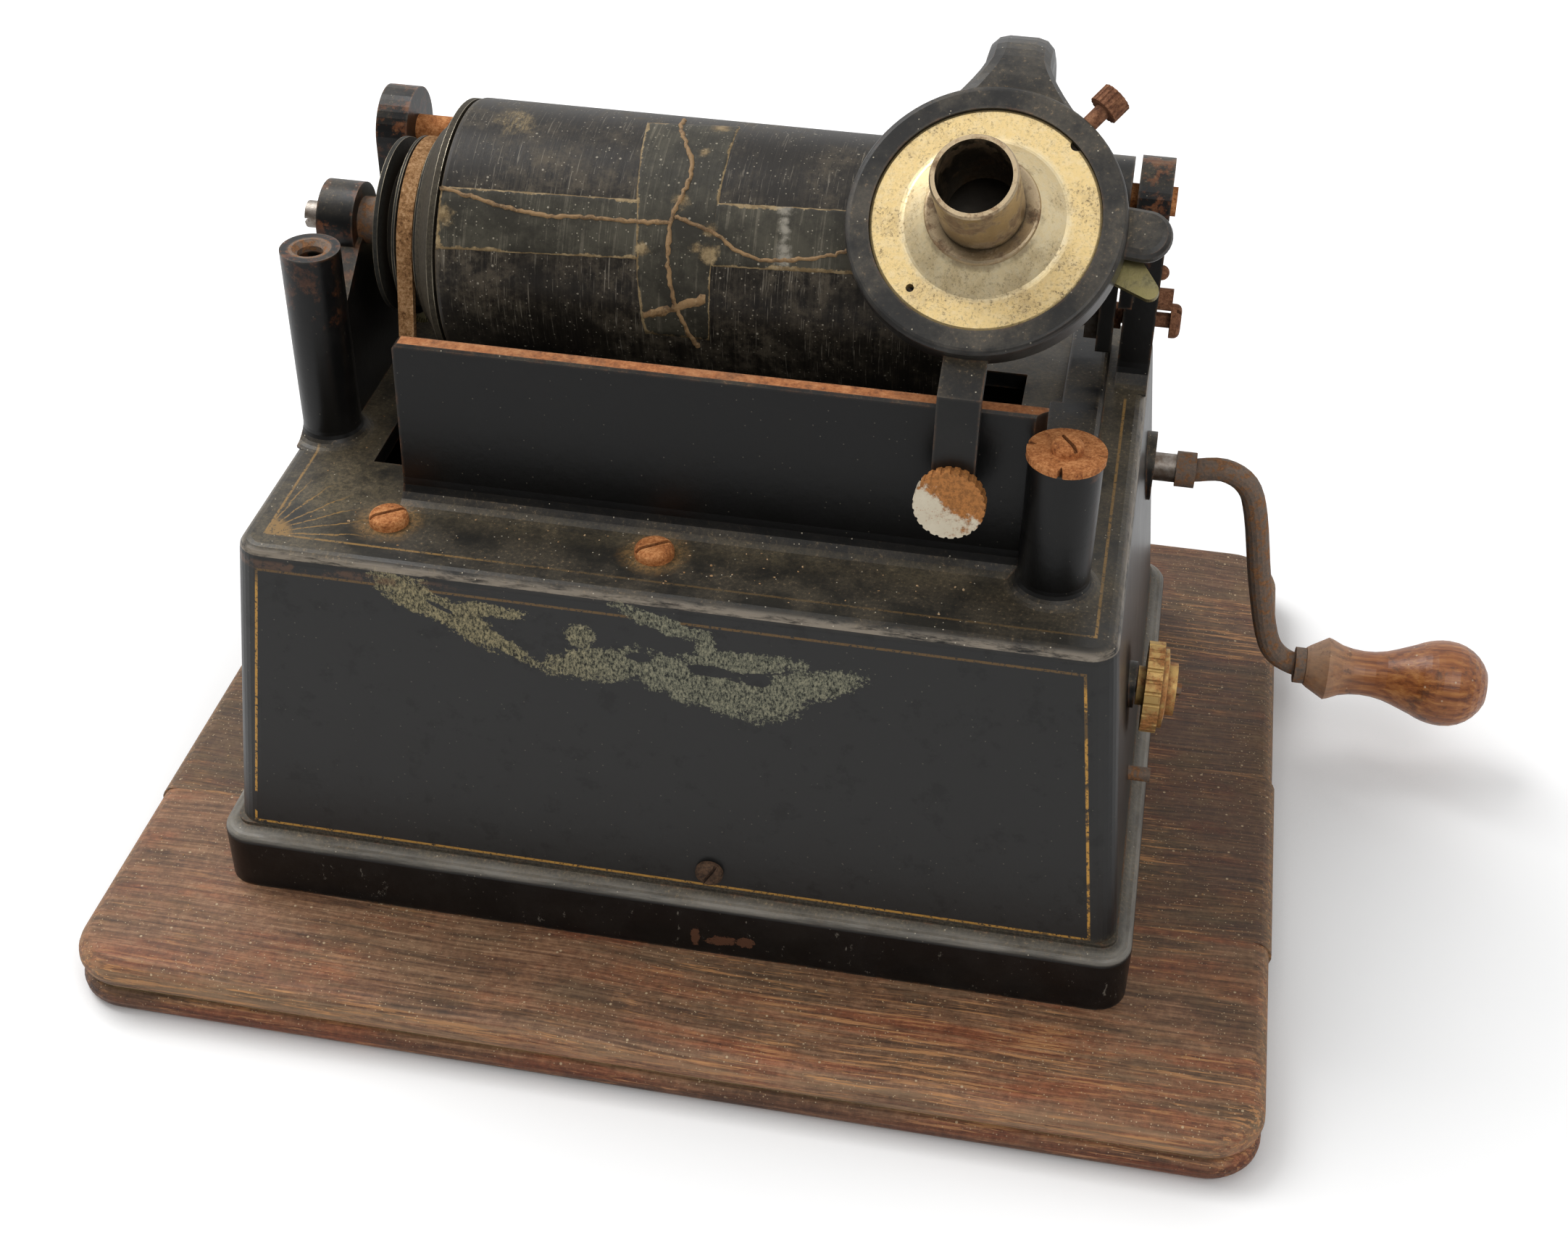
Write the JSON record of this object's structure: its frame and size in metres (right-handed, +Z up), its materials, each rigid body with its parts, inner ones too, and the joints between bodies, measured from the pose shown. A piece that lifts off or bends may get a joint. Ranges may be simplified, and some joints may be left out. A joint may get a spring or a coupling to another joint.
{
  "type": "cylinder phonograph",
  "caption": "Spring-driven cylinder phonograph: black iron body on a moulded wooden base, belt-driven mandrel with a record, hinged reproducer arm on a back rod, feed gears, and a side crank.",
  "frame": {"origin": "centre of the wooden base's underside", "axes": "+X along the mandrel towards the crank, +Y to the back, +Z up"},
  "size_m": [0.305, 0.2034, 0.189],
  "materials": {
    "oak": "dusty worn varnish",
    "japanned_iron": "black japan, worn",
    "rusty_steel": "rusted",
    "dark_steel": "darkened",
    "steel": "plain",
    "nickel": "worn nickel plate",
    "brass": "tarnished",
    "pulley_metal": "dull",
    "gilt": "worn gilt nickel",
    "wax": "black moulded record with brown stains",
    "belt": "fuzzy, worn",
    "rubber": "matt",
    "glass": "clear",
    "grip_wood": "turned, worn"
  },
  "bodies": {
    "machine": {"base_board_front": "oak", "base_board_middle": "oak", "base_board_rear": "oak", "base_screws": "dark_steel", "body_casting": "japanned_iron", "deck_screws": "rusty_steel", "column_disc": "rusty_steel", "column_screw": "rusty_steel", "horn_column_bush": "rusty_steel", "face_screw": "dark_steel", "stub_screw": "dark_steel", "back_rod": "steel", "mandrel_pivot": "brass", "mandrel_bush": "dark_steel", "feed_pivot_screw": "rusty_steel", "post_screws": "rusty_steel", "idler_stud": "dark_steel", "motor_plate_left": "brass", "motor_plate_right": "brass", "motor_pillars": "steel", "crank_bush": "nickel", "drive_belt": "belt"},
    "mandrel": {"mandrel_shaft": "steel", "mandrel_pulley": "pulley_metal", "mandrel_flange": "nickel", "mandrel_drum": "nickel"},
    "record": {"record_cylinder": "wax"},
    "idler": {"idler_gear": "brass"},
    "feed": {"feed_screw": "steel", "feed_gear": "brass"},
    "carriage": {"carriage_bush": "brass"},
    "arm": {"arm_casting": "japanned_iron", "half_nut": "brass", "set_screw": "rusty_steel", "reproducer_body": "brass", "lower_gasket": "rubber", "diaphragm": "glass", "upper_gasket": "rubber", "reproducer_plate": "gilt", "horn_tube": "gilt", "clamp_screw": "dark_steel"},
    "weight": {"reproducer_weight": "nickel", "stylus_bar": "dark_steel"},
    "adjuster": {"adjusting_screw": "nickel"},
    "clamp": {"clamp_lever": "brass"},
    "speed": {"speed_knob": "dark_steel", "speed_rod": "steel"},
    "crank": {"winding_shaft": "steel", "crank_rod": "dark_steel"},
    "grip": {"crank_grip": "grip_wood"},
    "winder": {"barrel_arbor": "steel"},
    "barrel": {"spring_barrel": "brass"},
    "second": {"second_arbor": "steel"},
    "drive": {"pulley_arbor": "steel", "motor_pulley": "brass"},
    "governor": {"governor_spindle": "steel", "governor_weights": "brass"}
  },
  "joints": [
    {"name": "mandrel_spin", "type": "hinge", "parent": "machine", "child": "mandrel", "pos_m": [0, 0.0065, 0.1397], "axis": [1, 0, 0], "continuous": true},
    {"name": "record_slide", "type": "slide", "parent": "mandrel", "child": "record", "axis": [1, 0, 0], "range_m": [0, 0.06]},
    {"name": "idler_spin", "type": "hinge", "parent": "machine", "child": "idler", "pos_m": [-0.076, 0.02162, 0.12372], "axis": [1, 0, 0], "continuous": true},
    {"name": "feed_spin", "type": "hinge", "parent": "machine", "child": "feed", "pos_m": [0, 0.0464, 0.113], "axis": [1, 0, 0], "continuous": true},
    {"name": "carriage_slide", "type": "slide", "parent": "machine", "child": "carriage", "axis": [1, 0, 0], "range_m": [-0.1, 0]},
    {"name": "arm_lift", "type": "hinge", "parent": "carriage", "child": "arm", "pos_m": [0.05, 0.0464, 0.1423], "axis": [-1, 0, 0], "range_deg": [0, 12]},
    {"name": "weight_float", "type": "hinge", "parent": "arm", "child": "weight", "pos_m": [0.05197, -0.00192, 0.17386], "axis": [-0.9976, 0.0467, -0.0518], "range_deg": [0, 2]},
    {"name": "adjuster_turn", "type": "hinge", "parent": "arm", "child": "adjuster", "pos_m": [0.0513, -0.04561, 0.12235], "axis": [0, -0.9925, 0.1219], "continuous": true},
    {"name": "clamp_swing", "type": "hinge", "parent": "arm", "child": "clamp", "pos_m": [0.07619, -0.01834, 0.16176], "axis": [0.0698, 0.6675, -0.7413], "range_deg": [0, 40]},
    {"name": "speed_turn", "type": "hinge", "parent": "machine", "child": "speed", "pos_m": [0.095, -0.025, 0.065], "axis": [1, 0, 0], "continuous": true},
    {"name": "crank_turn", "type": "hinge", "parent": "machine", "child": "crank", "pos_m": [0.09, 0.04, 0.078], "axis": [1, 0, 0], "continuous": true},
    {"name": "grip_spin", "type": "hinge", "parent": "crank", "child": "grip", "pos_m": [0.15, 0.04, 0.025], "axis": [1, 0, 0], "continuous": true},
    {"name": "winder_turn", "type": "hinge", "parent": "machine", "child": "winder", "pos_m": [0, 0.02202, 0.05009], "axis": [1, 0, 0], "continuous": true},
    {"name": "barrel_turn", "type": "hinge", "parent": "machine", "child": "barrel", "pos_m": [0, 0.02202, 0.05009], "axis": [1, 0, 0], "continuous": true},
    {"name": "second_turn", "type": "hinge", "parent": "machine", "child": "second", "pos_m": [0, 0.00609, 0.07727], "axis": [1, 0, 0], "continuous": true},
    {"name": "drive_turn", "type": "hinge", "parent": "machine", "child": "drive", "pos_m": [0, -0.012, 0.07], "axis": [1, 0, 0], "continuous": true},
    {"name": "governor_turn", "type": "hinge", "parent": "machine", "child": "governor", "pos_m": [0, -0.02985, 0.0635], "axis": [1, 0, 0], "continuous": true}
  ],
  "couplings": [
    {"joint": "idler_spin", "follows": "mandrel_spin", "ratio": -0.51724},
    {"joint": "feed_spin", "follows": "mandrel_spin", "ratio": 0.6},
    {"joint": "drive_turn", "follows": "mandrel_spin", "ratio": 1.3609},
    {"joint": "second_turn", "follows": "mandrel_spin", "ratio": -0.2977},
    {"joint": "barrel_turn", "follows": "mandrel_spin", "ratio": 0.049616},
    {"joint": "governor_turn", "follows": "mandrel_spin", "ratio": -7.2581},
    {"joint": "winder_turn", "follows": "crank_turn", "ratio": -0.31746}
  ]
}
